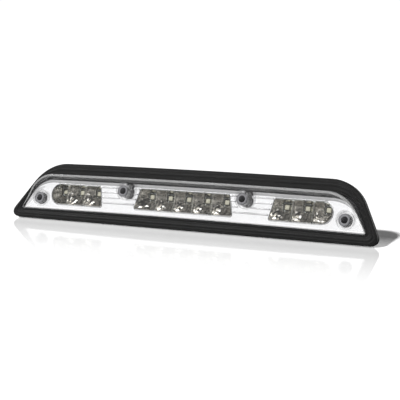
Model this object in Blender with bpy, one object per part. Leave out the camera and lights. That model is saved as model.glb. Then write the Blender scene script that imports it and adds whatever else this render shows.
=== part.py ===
"""High-mounted third brake lamp of a pickup cab, with a cargo light at each side.

The lamp is modelled in its own axes: X along the lamp, W up along the lens face and D into the
lamp, measured from the plane of the reflector openings. An empty then leans the face back and
puts the frame's origin on the rear face of the rubber surround, where the lamp meets the cab.
All the numbers below are millimetres until the meshes are made.
"""

import math
from dataclasses import dataclass, replace

import bmesh
import bpy
from mathutils import Matrix, Vector

MM = 0.001
CLEARANCE = 0.3

# Posture and curvatures of the lamp.
FACE_LEAN = math.radians(17.1)
MOUNT_LEAN = math.radians(25.6)
MOUNT_SLOPE = math.tan(MOUNT_LEAN - FACE_LEAN)
SIDE_SLOPE = 0.59
SIDE_COSINE = 1 / math.hypot(1, SIDE_SLOPE)
SIDE_LEVEL = -7.0
ARCH = 4.4e-5

# Rubber surround.
SURROUND_BOTTOM = -20.0
SURROUND_FRONT_AT_BOTTOM = -2.5
SURROUND_THICKNESS = 7.0
LIP_THICKNESS = 2.2
FLANGE_THICKNESS = 2.0

# Lens, panel and housing. The lens face stands more upright than the reflector openings.
LENS_FRONT = -5.2
LENS_TILT = 0.25
LENS_CROWN = 3.0e-5
LENS_WALL = 2.0
PANEL_THICKNESS = 2.0
HOUSING_WALL = 2.3
HOUSING_BACK = 23.5

# Light cells and what stands behind them.
CELL_PITCH = 19.0
CELL_WALL = 1.0
CLUSTER_BOTTOM = -4.8
CLUSTER_TOP = 13.7
BRAKE_CELLS = 5
BRAKE_HALF_BOTTOM = 49.7
BRAKE_HALF_TOP = 44.8
CARGO_FIRST_LED = 95.3
CARGO_CELLS = 3
CARGO_INNER_BOTTOM = 84.1
CARGO_INNER_TOP = 88.1
CARGO_OUTER = 141.2
CARGO_END_RADIUS = 9.2
LED_LEVEL = 8.55
LED_BODY = 5.6
LED_WINDOW = 7.2
REFLECTOR_BACK = 9.3
BOARD_FRONT = 11.4
BOARD_THICKNESS = 1.6

# Screw bosses: distance from the middle, level, outer radius and depth of the sleeve's seat.
BOSSES = {"end": (153.2, 0.0, 8.0, -1.6), "mid": (60.0, 9.9, 7.5, -4.9)}
BOSS_WALL = 1.7
BOSS_BACK = 0.0
BOSS_SUPPORT_RADIUS = 6.0
BUSH_RADIUS = 4.2
BUSH_BORE = 3.1
BUSH_FLANGE = 5.2

# Posts that take the circuit board screws.
BRAKE_POSTS = [(-53.7, -1.5), (53.7, -1.5)]
CARGO_POSTS = [(79.4, -1.5), (143.0, 13.2)]
POST_RADIUS = 2.4
SCREW_RADIUS = 1.1
SCREW_HOLE = 1.4

# Connector and breather on the back wall.
SOCKET_LEVEL = 6.0
SOCKET_DEPTH = 16.0
PIN_PITCH = 4.5
BREATHER_X = 100.0
BREATHER_LEVEL = 6.0

RIB_LEVELS = [-1.0, 3.8, 8.5, 13.0]
MOUNT_LEVEL = 30.0

# Facets of the long edges.
LONG_EDGE = 150.0
LONG_EDGE_PARTS = 10
FACE_PARTS = 16


@dataclass(frozen=True)
class Outline:
    """A low arch: straight bottom, sides that lean in, and a large radius at each top corner."""

    half: float
    top: float
    bottom: float
    top_radius: float
    bottom_radius: float

    def inset(self, distance):
        return replace(
            self,
            half=self.half - distance / SIDE_COSINE,
            top=self.top - distance,
            bottom=self.bottom + distance,
            top_radius=self.top_radius - distance,
            bottom_radius=max(self.bottom_radius - distance, 0.5),
        )

    def half_at(self, level):
        return self.half - (level - SIDE_LEVEL) * SIDE_SLOPE

    def points(self):
        low, high = self.half_at(self.bottom), self.half_at(self.top)
        corners = [
            (-low, self.bottom, self.bottom_radius, 4),
            (low, self.bottom, self.bottom_radius, 4),
            (high, self.top, self.top_radius, 9),
            (-high, self.top, self.top_radius, 9),
        ]
        return [(x, w - arch(x, w)) for x, w in divided(rounded(corners))]


OUTER = Outline(180.0, 34.6, SURROUND_BOTTOM, 38.0, 7.0)
LENS = Outline(171.2, 21.6, -10.3, 29.0, 1.5)
PANEL_RIM = Outline(168.2, 17.2, -7.9, 25.5, 1.0)
PANEL_FLOOR = Outline(166.6, 14.6, -5.6, 22.0, 1.0)


def arch(x, w):
    """How far the lamp's lines drop towards its ends; the surround's bottom edge stays straight."""
    share = min(max((w - SURROUND_BOTTOM) / 8.0, 0.0), 1.0)
    return ARCH * x * x * share


def rounded(corners):
    """Points of a polygon given as (x, w, radius, segments), with an arc at each corner."""
    points = []
    for i, (x, w, radius, segments) in enumerate(corners):
        here = Vector((x, w))
        before = (Vector(corners[i - 1][:2]) - here).normalized()
        after = (Vector(corners[(i + 1) % len(corners)][:2]) - here).normalized()
        half_angle = before.angle(after) / 2
        centre = here + (before + after).normalized() * radius / math.sin(half_angle)
        start = here + before * radius / math.tan(half_angle) - centre
        sweep = math.pi - 2 * half_angle
        for step in range(segments + 1):
            turn = Matrix.Rotation(sweep * step / segments, 2)
            points.append(tuple(centre + turn @ start))
    return points


def divided(points):
    """The same closed line with its two edges along the lamp cut into equal shorter ones."""
    result = []
    for (x, w), (next_x, next_w) in zip(points, points[1:] + points[:1]):
        count = LONG_EDGE_PARTS if abs(next_x - x) > LONG_EDGE else 1
        result += [
            (x + (next_x - x) * i / count, w + (next_w - w) * i / count)
            for i in range(count)
        ]
    return result


def surround_front(w, behind=0.0):
    """Depth of the surround's front plane at level w, or of the plane that far behind it."""
    return SURROUND_FRONT_AT_BOTTOM + (w - SURROUND_BOTTOM) * MOUNT_SLOPE + behind


def behind_surround(distance):
    return lambda x, w: surround_front(w, distance)


def behind_lens_face(distance):
    """Depth of a surface that far behind the lens's outer face, which is tilted and a little crowned."""
    return lambda x, w: LENS_FRONT - LENS_TILT * w + LENS_CROWN * x * x + distance


def at_depth(depth):
    return lambda x, w: depth


def loop(points, depth):
    return [Vector((x, depth(x, w), w)) for x, w in points]


def material(name, colour, roughness, metallic=0.0):
    made = bpy.data.materials.new(name)
    made.use_nodes = True
    shader = made.node_tree.nodes["Principled BSDF"]
    shader.inputs["Base Color"].default_value = (*colour, 1.0)
    shader.inputs["Roughness"].default_value = roughness
    shader.inputs["Metallic"].default_value = metallic
    return made


def mesh_object(name, bm, finish, lean):
    """A bmesh in millimetres made into an object in metres on the leaning empty."""
    bmesh.ops.recalc_face_normals(bm, faces=bm.faces)
    bmesh.ops.scale(bm, vec=(MM, MM, MM), verts=bm.verts)
    mesh = bpy.data.meshes.new(name)
    bm.to_mesh(mesh)
    bm.free()
    mesh.shade_smooth()
    mesh.set_sharp_from_angle(angle=math.radians(35))
    mesh.materials.append(finish)
    made = bpy.data.objects.new(name, mesh)
    bpy.context.collection.objects.link(made)
    made.parent = lean
    return made


def loft(name, loops, finish, lean, ring=False):
    """A solid through loops of equal length: capped at both ends, or closed round as a ring."""
    bm = bmesh.new()
    rows = [[bm.verts.new(point) for point in points] for points in loops]
    pairs = list(zip(rows, rows[1:]))
    if ring:
        pairs.append((rows[-1], rows[0]))
    else:
        bm.faces.new(rows[0])
        bm.faces.new(rows[-1])
    for row, following in pairs:
        for i in range(len(row)):
            j = (i + 1) % len(row)
            bm.faces.new((row[i], row[j], following[j], following[i]))
    return mesh_object(name, bm, finish, lean)


def prism(name, points, front, back, finish, lean):
    loops = [loop(points, at_depth(front)), loop(points, at_depth(back))]
    return loft(name, loops, finish, lean)


def box(name, x, w, depth, finish, lean):
    """A box from three (low, high) pairs."""
    points = [(x[0], w[0]), (x[1], w[0]), (x[1], w[1]), (x[0], w[1])]
    return prism(name, points, depth[0], depth[1], finish, lean)


def circle(x, w, radius, segments):
    turns = [2 * math.pi * i / segments for i in range(segments)]
    return [(x + radius * math.cos(turn), w + radius * math.sin(turn)) for turn in turns]


def turned(name, x, w, profile, finish, lean, segments=20, ring=False):
    """A turned piece on an axis along D through (x, w), from (radius, depth) pairs."""
    loops = [loop(circle(x, w, radius, segments), at_depth(depth)) for radius, depth in profile]
    return loft(name, loops, finish, lean, ring)


def combine(target, tool, operation):
    """Adds a Boolean to target and keeps the tool out of the model."""
    tool.hide_render = True
    tool.display_type = "WIRE"
    modifier = target.modifiers.new(f"{operation.lower()}_{tool.name}", "BOOLEAN")
    modifier.operation = operation
    modifier.solver = "EXACT"
    modifier.object = tool


def cut(target, tool):
    combine(target, tool, "DIFFERENCE")


def join(target, tool):
    combine(target, tool, "UNION")


def boss_places():
    """Each screw boss as (name, x, level, radius, seat)."""
    for kind, (distance, level, radius, seat) in BOSSES.items():
        for side, sign in (("left", -1), ("right", 1)):
            yield f"{kind}_{side}", sign * distance, level - arch(distance, level), radius, seat


def brake_outline(grow=0.0):
    low, high = BRAKE_HALF_BOTTOM + grow, BRAKE_HALF_TOP + grow
    bottom, top = CLUSTER_BOTTOM - grow, CLUSTER_TOP + grow
    corners = [(-low, bottom), (low, bottom), (high, top), (-high, top)]
    return rounded([(x, w, 1.6 + grow, 3) for x, w in corners])


def cargo_outline(side, grow=0.0):
    """The opening of three cells, square towards the middle and round at the lamp's end."""
    drop = arch(CARGO_FIRST_LED + CELL_PITCH, 0.0)
    bottom, top = CLUSTER_BOTTOM - grow - drop, CLUSTER_TOP + grow - drop
    corners = [
        (CARGO_INNER_BOTTOM - grow, bottom, 1.6 + grow, 3),
        (CARGO_OUTER + grow, bottom, CARGO_END_RADIUS + grow, 6),
        (CARGO_OUTER + grow, top, CARGO_END_RADIUS + grow, 6),
        (CARGO_INNER_TOP - grow, top, 1.6 + grow, 3),
    ]
    return mirrored(rounded(corners), side)


def mirrored(points, side):
    return points if side > 0 else [(-x, w) for x, w in reversed(points)]


def cell_outlines(inner_bottom, inner_top, first, count, outer, outer_radius):
    """Openings of a row of cells, as corner lists for rounded()."""
    for i in range(count):
        centre = first + i * CELL_PITCH
        left_low = inner_bottom + CELL_WALL if i == 0 else centre - CELL_PITCH / 2 + CELL_WALL / 2
        left_high = inner_top + CELL_WALL if i == 0 else left_low
        last = i == count - 1
        right_low = outer[0] - CELL_WALL if last else centre + CELL_PITCH / 2 - CELL_WALL / 2
        right_high = outer[1] - CELL_WALL if last else right_low
        radius = outer_radius if last else 1.2
        low, high = CLUSTER_BOTTOM + CELL_WALL, CLUSTER_TOP - CELL_WALL
        yield centre, [
            (left_low, low, 1.2, 3),
            (right_low, low, radius, 3),
            (right_high, high, radius, 3),
            (left_high, high, 1.2, 3),
        ]


def led_window(x, level):
    half = LED_WINDOW / 2
    corners = [(-half, -half), (half, -half), (half, half), (-half, half)]
    return rounded([(x + dx, level + dw, 1.5, 3) for dx, dw in corners])


def make_reflector(name, outline, cells, side, drop, finish, lean):
    """One moulded cup insert: a block with a lip behind the panel and a tapered bowl per LED."""
    lip_front = PANEL_THICKNESS + CLEARANCE
    lip_back = lip_front + 1.5
    section = [
        (0.0, 0.0), (0.0, lip_front), (1.0, lip_front),
        (1.0, lip_back), (0.0, lip_back), (0.0, REFLECTOR_BACK),
    ]
    loops = [loop(outline(grow - CLEARANCE), at_depth(depth)) for grow, depth in section]
    block = loft(name, loops, finish, lean)
    for number, (centre, corners) in enumerate(cells, start=1):
        opening = [(x, w - drop) for x, w in rounded(corners)]
        window = led_window(centre, LED_LEVEL - drop)
        waist = [((a[0] + b[0]) / 2, (a[1] + b[1]) / 2) for a, b in zip(opening, window)]
        stages = [(opening, -1.0), (opening, 0.8), (waist, 6.2), (window, 8.8), (window, REFLECTOR_BACK + 1)]
        bowl = [loop(mirrored(points, side), at_depth(depth)) for points, depth in stages]
        cut(block, loft(f"{name}_bowl_{number}", bowl, finish, lean))
    return block


def make_brake_reflector(finish, lean):
    half_width = CELL_PITCH * (BRAKE_CELLS - 1) / 2
    outer = (BRAKE_HALF_BOTTOM, BRAKE_HALF_TOP)
    cells = cell_outlines(-outer[0], -outer[1], -half_width, BRAKE_CELLS, outer, 1.2)
    make_reflector("brake_reflector", brake_outline, cells, 1, 0.0, finish, lean)


def make_cargo_reflector(name, side, finish, lean):
    cells = cell_outlines(
        CARGO_INNER_BOTTOM,
        CARGO_INNER_TOP,
        CARGO_FIRST_LED,
        CARGO_CELLS,
        (CARGO_OUTER, CARGO_OUTER),
        CARGO_END_RADIUS - CELL_WALL,
    )
    drop = arch(CARGO_FIRST_LED + CELL_PITCH, 0.0)
    make_reflector(name, lambda grow: cargo_outline(side, grow), cells, side, drop, finish, lean)


def lens_block(name, behind, outline, back, finish, lean):
    """A block behind the lens face, or behind a copy of it set back, trimmed to an outline."""
    reach = LENS.half + 10
    steps = [-reach + 2 * reach * i / FACE_PARTS for i in range(FACE_PARTS + 1)]
    front = behind_lens_face(behind)
    bars = []
    for w in (-30.0, 40.0):
        section = [*[(x, front(x, w)) for x in steps], (reach, 40.0), (-reach, 40.0)]
        bars.append([Vector((x, depth, w)) for x, depth in section])
    block = loft(name, bars, finish, lean)
    ends = [loop(outline.points(), at_depth(-25.0)), loop(outline.points(), back)]
    combine(block, loft(f"{name}_trim", ends, finish, lean), "INTERSECT")
    return block


def make_lens(finish, lean):
    """Clear cover: crowned face, side walls down to the flange, and a boss for each screw."""
    lens = lens_block("outer_lens", 0.0, LENS, behind_surround(1.1), finish, lean)
    hollow = LENS.inset(LENS_WALL)
    cut(lens, lens_block("outer_lens_hollow", LENS_WALL, hollow, at_depth(30.0), finish, lean))
    for name, x, level, radius, _ in boss_places():
        rings = [(radius, behind_lens_face(1.0)), (radius, at_depth(BOSS_BACK))]
        join(lens, bored(f"lens_boss_{name}", x, level, rings, finish, lean))
    for name, x, level, radius, seat in boss_places():
        inner = radius - BOSS_WALL
        rings = [(inner, behind_lens_face(-3.0)), (inner, at_depth(seat))]
        cut(lens, bored(f"lens_recess_{name}", x, level, rings, finish, lean))
        hole = [(BUSH_RADIUS + CLEARANCE, seat - 1), (BUSH_RADIUS + CLEARANCE, BOSS_BACK + 1)]
        cut(lens, turned(f"lens_hole_{name}", x, level, hole, finish, lean))


def bored(name, x, w, rings, finish, lean):
    """A round piece on an axis along D whose ends follow depth functions, from (radius, depth) pairs."""
    return loft(name, [loop(circle(x, w, radius, 20), depth) for radius, depth in rings], finish, lean)


def make_surround(finish, lean):
    """Rubber surround: a channel that wraps the housing flange, with a raised bead in front."""
    inner = LENS.inset(-0.5)
    bead = blend(inner, OUTER, 0.52)
    groove = OUTER.inset(FLANGE_THICKNESS + 0.8)
    rear_lip = SURROUND_THICKNESS - LIP_THICKNESS
    section = [
        (inner, 0.4),
        (blend(inner, OUTER, 0.42), 0.0),
        (bead, -0.9),
        (blend(inner, OUTER, 0.60), -0.2),
        (OUTER.inset(1.4), 0.1),
        (OUTER, 1.5),
        (OUTER, SURROUND_THICKNESS - 0.8),
        (OUTER.inset(0.8), SURROUND_THICKNESS),
        (inner, SURROUND_THICKNESS),
        (inner, rear_lip),
        (groove, rear_lip),
        (groove, LIP_THICKNESS),
        (inner, LIP_THICKNESS),
    ]
    loops = [loop(outline.points(), behind_surround(depth)) for outline, depth in section]
    loft("perimeter_gasket", loops, finish, lean, ring=True)


def blend(first, second, share):
    """An outline part of the way from one outline to another."""
    pairs = zip(first.__dict__.values(), second.__dict__.values())
    return Outline(*[a + (b - a) * share for a, b in pairs])


def make_lens_seal(finish, lean):
    outer, inner = LENS.inset(0.3), LENS.inset(1.8)
    section = [(inner, 1.4), (outer, 1.4), (outer, 2.2), (inner, 2.2)]
    loops = [loop(outline.points(), behind_surround(depth)) for outline, depth in section]
    loft("lens_seal", loops, finish, lean, ring=True)


def make_housing(finish, lean):
    """Black rear shell: a tray with a flange, a tube round each screw, and two rear openings."""
    inner = LENS.inset(HOUSING_WALL)
    flange = OUTER.inset(FLANGE_THICKNESS + 1.1)
    flange_front = LIP_THICKNESS + CLEARANCE
    loops = [
        loop(inner.points(), at_depth(HOUSING_BACK - HOUSING_WALL)),
        loop(inner.points(), behind_surround(flange_front)),
        loop(flange.points(), behind_surround(flange_front)),
        loop(flange.points(), behind_surround(flange_front + FLANGE_THICKNESS)),
        loop(LENS.points(), behind_surround(flange_front + FLANGE_THICKNESS)),
        loop(LENS.inset(0.6).points(), at_depth(HOUSING_BACK - 2.0)),
        loop(LENS.inset(1.8).points(), at_depth(HOUSING_BACK)),
    ]
    housing = loft("rear_housing", loops, finish, lean)
    for name, x, level, *_ in boss_places():
        front = PANEL_THICKNESS + CLEARANCE
        tube = [(BOSS_SUPPORT_RADIUS, front), (BOSS_SUPPORT_RADIUS, HOUSING_BACK - 1)]
        join(housing, turned(f"housing_tube_{name}", x, level, tube, finish, lean))
    for name, x, level, *_ in boss_places():
        bore = [(BUSH_RADIUS + CLEARANCE, 1.0), (BUSH_RADIUS + CLEARANCE, HOUSING_BACK + 3)]
        cut(housing, turned(f"housing_bore_{name}", x, level, bore, finish, lean))
    port = (HOUSING_BACK - 6, HOUSING_BACK + 3)
    level = (SOCKET_LEVEL - 4.0, SOCKET_LEVEL + 4.0)
    cut(housing, box("housing_socket_port", (-8.0, 8.0), level, port, finish, lean))
    stem = [(2.7, port[0]), (2.7, port[1])]
    cut(housing, turned("housing_breather_port", BREATHER_X, BREATHER_LEVEL, stem, finish, lean))


def panel_rim(behind):
    """Depth of the panel's rim, which comes forward from bottom to top."""
    height = PANEL_RIM.top - PANEL_RIM.bottom
    return lambda x, w: behind + 0.3 - 3.5 * (w - PANEL_RIM.bottom) / height


def make_panel(finish, lean):
    """Bright panel behind the lens: a shallow dish with openings, ribs and screw posts."""
    loops = [
        loop(PANEL_FLOOR.points(), at_depth(0.0)),
        loop(PANEL_RIM.points(), panel_rim(0.0)),
        loop(PANEL_RIM.points(), panel_rim(1.6)),
        loop(PANEL_FLOOR.points(), at_depth(PANEL_THICKNESS)),
    ]
    panel = loft("reflector_panel", loops, finish, lean)
    for side in (-1, 1):
        for number, level in enumerate(RIB_LEVELS, start=1):
            span = (48.0, 87.0) if side > 0 else (-87.0, -48.0)
            height = (level - 0.45, level + 0.45)
            join(panel, box(f"panel_rib_{side}_{number}", span, height, (-0.9, 1.0), finish, lean))
        for number, (x, level) in enumerate([BRAKE_POSTS[1], *CARGO_POSTS], start=1):
            label, place = f"{side}_{number}", (side * x, level - arch(x, level))
            post = [(POST_RADIUS, 0.9), (POST_RADIUS, BOARD_FRONT - CLEARANCE)]
            join(panel, turned(f"panel_post_{label}", *place, post, finish, lean, 12))
            pilot = [(SCREW_HOLE, 4.0), (SCREW_HOLE, BOARD_FRONT + 2)]
            cut(panel, turned(f"panel_pilot_{label}", *place, pilot, finish, lean, 12))
    cut(panel, prism("panel_brake_opening", brake_outline(), -8.0, 2.3, finish, lean))
    for side in (-1, 1):
        cut(panel, prism(f"panel_cargo_opening_{side}", cargo_outline(side), -8.0, 2.3, finish, lean))
    for name, x, level, radius, _ in boss_places():
        pocket = [(radius + CLEARANCE, -8.0), (radius + CLEARANCE, BOSS_BACK + CLEARANCE)]
        cut(panel, turned(f"panel_pocket_{name}", x, level, pocket, finish, lean))
        hole = [(BUSH_RADIUS + CLEARANCE, -1.0), (BUSH_RADIUS + CLEARANCE, 6.0)]
        cut(panel, turned(f"panel_hole_{name}", x, level, hole, finish, lean))


def make_board(name, outline, posts, finish, lean):
    back = BOARD_FRONT + BOARD_THICKNESS
    board = prism(name, outline, BOARD_FRONT, back, finish, lean)
    for number, (x, level) in enumerate(posts, start=1):
        hole = [(SCREW_HOLE, BOARD_FRONT - 1), (SCREW_HOLE, back + 1)]
        cut(board, turned(f"{name}_hole_{number}", x, level - arch(x, level), hole, finish, lean, 12))


def make_boards(finish, lean):
    wide, narrow, low, step, high = 57.0, 50.5, -5.5, 2.2, 14.5
    brake = [
        (-wide, low), (wide, low), (wide, step), (narrow, step),
        (narrow, high), (-narrow, high), (-narrow, step), (-wide, step),
    ]
    make_board("brake_board", brake, BRAKE_POSTS, finish, lean)
    cargo = [(76.4, -6.0), (144.6, -6.0), (146.0, 15.2), (76.4, 15.2)]
    for name, side in (("cargo_board_left", -1), ("cargo_board_right", 1)):
        posts = [(side * x, level) for x, level in CARGO_POSTS]
        make_board(name, mirrored(cargo, side), posts, finish, lean)


def make_led(name, x, level, finish, lean):
    """A surface-mount LED: a square body with a low dome over the chip."""
    half = LED_BODY / 2
    back = BOARD_FRONT - CLEARANCE
    body = box(name, (x - half, x + half), (level - half, level + half), (back - 1.5, back), finish, lean)
    dome = [(2.2, back - 1.0), (2.2, back - 1.8), (1.7, back - 2.6), (0.7, back - 3.1)]
    join(body, turned(f"{name}_dome", x, level, dome, finish, lean, 10))


def make_leds(finish, lean):
    for number in range(BRAKE_CELLS):
        x = (number - (BRAKE_CELLS - 1) / 2) * CELL_PITCH
        make_led(f"brake_led_{number + 1}", x, LED_LEVEL, finish, lean)
    drop = arch(CARGO_FIRST_LED + CELL_PITCH, 0.0)
    for side_name, side in (("left", -1), ("right", 1)):
        for number in range(CARGO_CELLS):
            x = side * (CARGO_FIRST_LED + number * CELL_PITCH)
            make_led(f"cargo_led_{side_name}_{number + 1}", x, LED_LEVEL - drop, finish, lean)


def make_board_screws(finish, lean):
    """Pan-head screws that hold each board to the panel's posts."""
    back = BOARD_FRONT + BOARD_THICKNESS + CLEARANCE
    profile = [
        (0.6, 5.0), (SCREW_RADIUS, 5.8), (SCREW_RADIUS, back),
        (2.3, back), (2.3, back + 1.0), (1.4, back + 1.6),
    ]
    places = {"brake_board_screw": BRAKE_POSTS}
    places["cargo_board_screw_left"] = [(-x, level) for x, level in CARGO_POSTS]
    places["cargo_board_screw_right"] = CARGO_POSTS
    for name, posts in places.items():
        for number, (x, level) in enumerate(posts, start=1):
            turned(f"{name}_{number}", x, level - arch(x, level), profile, finish, lean, 12)


def make_board_parts(chip_finish, resistor_finish, lean):
    """The parts soldered to the backs of the boards."""
    back = BOARD_FRONT + BOARD_THICKNESS + CLEARANCE
    box("brake_driver", (-26.0, -16.0), (1.0, 7.0), (back, back + 1.8), chip_finish, lean)
    box("polarity_diode", (18.0, 25.0), (2.0, 6.0), (back, back + 2.2), chip_finish, lean)
    for side_name, centre in (("left", -112.0), ("right", 112.0)):
        span = (centre - 3.2, centre + 3.2)
        box(f"ballast_resistor_{side_name}", span, (2.0, 5.2), (back, back + 0.9), resistor_finish, lean)


def make_bushes(finish, lean):
    """Flanged metal sleeves that carry the screw load through the plastic."""
    for name, x, level, _, seat in boss_places():
        front = seat - CLEARANCE
        profile = [
            (BUSH_BORE, front - 0.9), (BUSH_FLANGE, front - 0.9), (BUSH_FLANGE, front),
            (BUSH_RADIUS, front), (BUSH_RADIUS, HOUSING_BACK), (BUSH_BORE, HOUSING_BACK),
        ]
        turned(f"bush_{name}", x, level, profile, finish, lean, 16, ring=True)


def make_socket(finish, pin_finish, lean):
    """Connector socket on the back wall, open to the rear, with three blade pins."""
    front = HOUSING_BACK + CLEARANCE
    sections = [
        ((7.6, 3.6), HOUSING_BACK - 3.6), ((7.6, 3.6), front), ((11.5, 7.5), front),
        ((11.5, 7.5), front + 1.8), ((9.3, 6.3), front + 1.8), ((9.3, 6.3), front + SOCKET_DEPTH),
    ]
    loops = []
    for (half_x, half_w), depth in sections:
        corners = [(-half_x, -half_w), (half_x, -half_w), (half_x, half_w), (-half_x, half_w)]
        points = rounded([(x, SOCKET_LEVEL + w, 1.2, 2) for x, w in corners])
        loops.append(loop(points, at_depth(depth)))
    socket = loft("connector_socket", loops, finish, lean)
    level = (SOCKET_LEVEL - 4.8, SOCKET_LEVEL + 4.8)
    cavity = (front + 3.0, front + SOCKET_DEPTH + 3)
    cut(socket, box("socket_cavity", (-7.8, 7.8), level, cavity, finish, lean))
    for number in (1, 2, 3):
        x = (number - 2) * PIN_PITCH
        slot_level = (SOCKET_LEVEL - 1.1, SOCKET_LEVEL + 1.1)
        slot_depth = (HOUSING_BACK - 6.0, front + 5.0)
        cut(socket, box(f"socket_slot_{number}", (x - 0.7, x + 0.7), slot_level, slot_depth, finish, lean))
        pin_level = (SOCKET_LEVEL - 0.8, SOCKET_LEVEL + 0.8)
        pin_depth = (HOUSING_BACK - 5.0, front + 8.0)
        box(f"terminal_pin_{number}", (x - 0.4, x + 0.4), pin_level, pin_depth, pin_finish, lean)


def make_breather(finish, lean):
    front = HOUSING_BACK + CLEARANCE
    profile = [
        (1.6, HOUSING_BACK - 5.0), (2.4, HOUSING_BACK - 4.2), (2.4, front),
        (5.5, front), (5.5, front + 2.2), (4.6, front + 3.0),
    ]
    turned("breather_cap", BREATHER_X, BREATHER_LEVEL, profile, finish, lean, 16)


def make_lead(name, points, finish, lean):
    """An insulated wire through points given in lamp axes."""
    curve = bpy.data.curves.new(name, "CURVE")
    curve.dimensions = "3D"
    curve.bevel_depth = 0.75 * MM
    curve.bevel_resolution = 1
    curve.resolution_u = 3
    curve.use_fill_caps = True
    spline = curve.splines.new("BEZIER")
    spline.bezier_points.add(len(points) - 1)
    for knot, (x, w, depth) in zip(spline.bezier_points, points):
        knot.co = Vector((x, depth, w)) * MM
        knot.handle_left_type = "AUTO"
        knot.handle_right_type = "AUTO"
    curve.materials.append(finish)
    made = bpy.data.objects.new(name, curve)
    bpy.context.collection.objects.link(made)
    made.parent = lean


def make_leads(finish, lean):
    back = BOARD_FRONT + BOARD_THICKNESS + 0.5
    for side_name, side in (("left", -1), ("right", 1)):
        route = [
            (44.0, -2.0, back), (48.0, -2.2, back + 3.0), (64.0, -3.0, back + 3.6),
            (84.0, -2.4, back + 3.0), (88.0, -2.2, back),
        ]
        make_lead(f"jumper_lead_{side_name}", [(side * x, w, d) for x, w, d in route], finish, lean)
    supply = [
        (6.5, 12.0, back), (6.5, 12.0, back + 2.6), (5.5, 9.5, back + 3.2),
        (PIN_PITCH, SOCKET_LEVEL + 2.0, back + 2.8),
    ]
    make_lead("supply_lead", supply, finish, lean)


def lamp_frame():
    """The empty that leans the lamp back and puts its mounting face at the origin."""
    lean = bpy.data.objects.new("lamp_frame", None)
    bpy.context.collection.objects.link(lean)
    turn = Matrix.Rotation(-FACE_LEAN, 4, "X")
    mount = Vector((0.0, surround_front(MOUNT_LEVEL, SURROUND_THICKNESS), MOUNT_LEVEL)) * MM
    lean.rotation_euler = turn.to_euler()
    lean.location = -(turn @ mount)
    return lean


def main():
    for existing in list(bpy.data.objects):
        bpy.data.objects.remove(existing)
    lean = lamp_frame()
    clear = material("clear_plastic", (0.92, 0.93, 0.94), 0.05)
    black = material("black_plastic", (0.02, 0.02, 0.022), 0.45)
    rubber = material("black_rubber", (0.025, 0.025, 0.027), 0.6)
    sealant = material("grey_sealant", (0.25, 0.25, 0.25), 0.7)
    chrome = material("bright_chrome", (0.9, 0.9, 0.91), 0.06, 1.0)
    board = material("white_board", (0.78, 0.8, 0.78), 0.45)
    led = material("led_package", (0.9, 0.86, 0.6), 0.3)
    steel = material("zinc_steel", (0.6, 0.6, 0.6), 0.35, 1.0)
    brass = material("tinned_brass", (0.75, 0.68, 0.5), 0.3, 1.0)
    ceramic = material("resistor_ceramic", (0.1, 0.1, 0.11), 0.5)
    wire = material("red_wire", (0.45, 0.03, 0.02), 0.5)
    make_lens(clear, lean)
    make_surround(rubber, lean)
    make_lens_seal(sealant, lean)
    make_housing(black, lean)
    make_panel(chrome, lean)
    make_brake_reflector(chrome, lean)
    make_cargo_reflector("cargo_reflector_left", -1, chrome, lean)
    make_cargo_reflector("cargo_reflector_right", 1, chrome, lean)
    make_boards(board, lean)
    make_leds(led, lean)
    make_board_screws(steel, lean)
    make_board_parts(black, ceramic, lean)
    make_bushes(steel, lean)
    make_socket(black, brass, lean)
    make_breather(black, lean)
    make_leads(wire, lean)


main()
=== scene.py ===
"""Looks of a pickup's third brake lamp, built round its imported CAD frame.

Shapes are worked out in the lamp's own axes, in millimetres: X along the lamp, W up along the
reflector openings and D into the lamp. place() leans them back into the row's frame, in metres.
"""

import math
from dataclasses import dataclass, replace

import bmesh
import bpy
import numpy as np
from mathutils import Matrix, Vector
from mathutils.geometry import delaunay_2d_cdt


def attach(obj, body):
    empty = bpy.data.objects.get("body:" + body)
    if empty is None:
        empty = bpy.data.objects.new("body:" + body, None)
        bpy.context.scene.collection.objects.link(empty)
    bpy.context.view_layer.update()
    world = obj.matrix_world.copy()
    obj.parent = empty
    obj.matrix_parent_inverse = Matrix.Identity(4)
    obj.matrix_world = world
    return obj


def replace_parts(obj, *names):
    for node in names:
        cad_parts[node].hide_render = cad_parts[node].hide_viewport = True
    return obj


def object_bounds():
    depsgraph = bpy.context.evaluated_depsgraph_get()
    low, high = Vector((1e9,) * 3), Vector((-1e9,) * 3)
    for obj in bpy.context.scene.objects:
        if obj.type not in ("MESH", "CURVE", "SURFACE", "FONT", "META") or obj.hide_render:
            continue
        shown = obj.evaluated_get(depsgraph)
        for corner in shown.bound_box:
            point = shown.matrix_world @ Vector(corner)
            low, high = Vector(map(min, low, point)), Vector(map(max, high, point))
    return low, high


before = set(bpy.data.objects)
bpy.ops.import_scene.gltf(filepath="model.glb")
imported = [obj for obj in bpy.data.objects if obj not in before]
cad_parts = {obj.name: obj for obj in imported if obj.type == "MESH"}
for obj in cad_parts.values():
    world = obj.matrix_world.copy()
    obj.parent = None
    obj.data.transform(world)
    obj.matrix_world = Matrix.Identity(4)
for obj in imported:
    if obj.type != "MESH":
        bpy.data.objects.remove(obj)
cad_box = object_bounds()

MM = 0.001

# Posture and curvatures, as in the CAD model.
FACE_LEAN = math.radians(17.1)
MOUNT_LEAN = math.radians(25.6)
MOUNT_SLOPE = math.tan(MOUNT_LEAN - FACE_LEAN)
SIDE_SLOPE = 0.59
SIDE_COSINE = 1 / math.hypot(1, SIDE_SLOPE)
SIDE_LEVEL = -7.0
ARCH = 4.4e-5
SURROUND_BOTTOM = -20.0
SURROUND_FRONT_AT_BOTTOM = -2.5
SURROUND_THICKNESS = 7.0
MOUNT_LEVEL = 30.0

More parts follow.
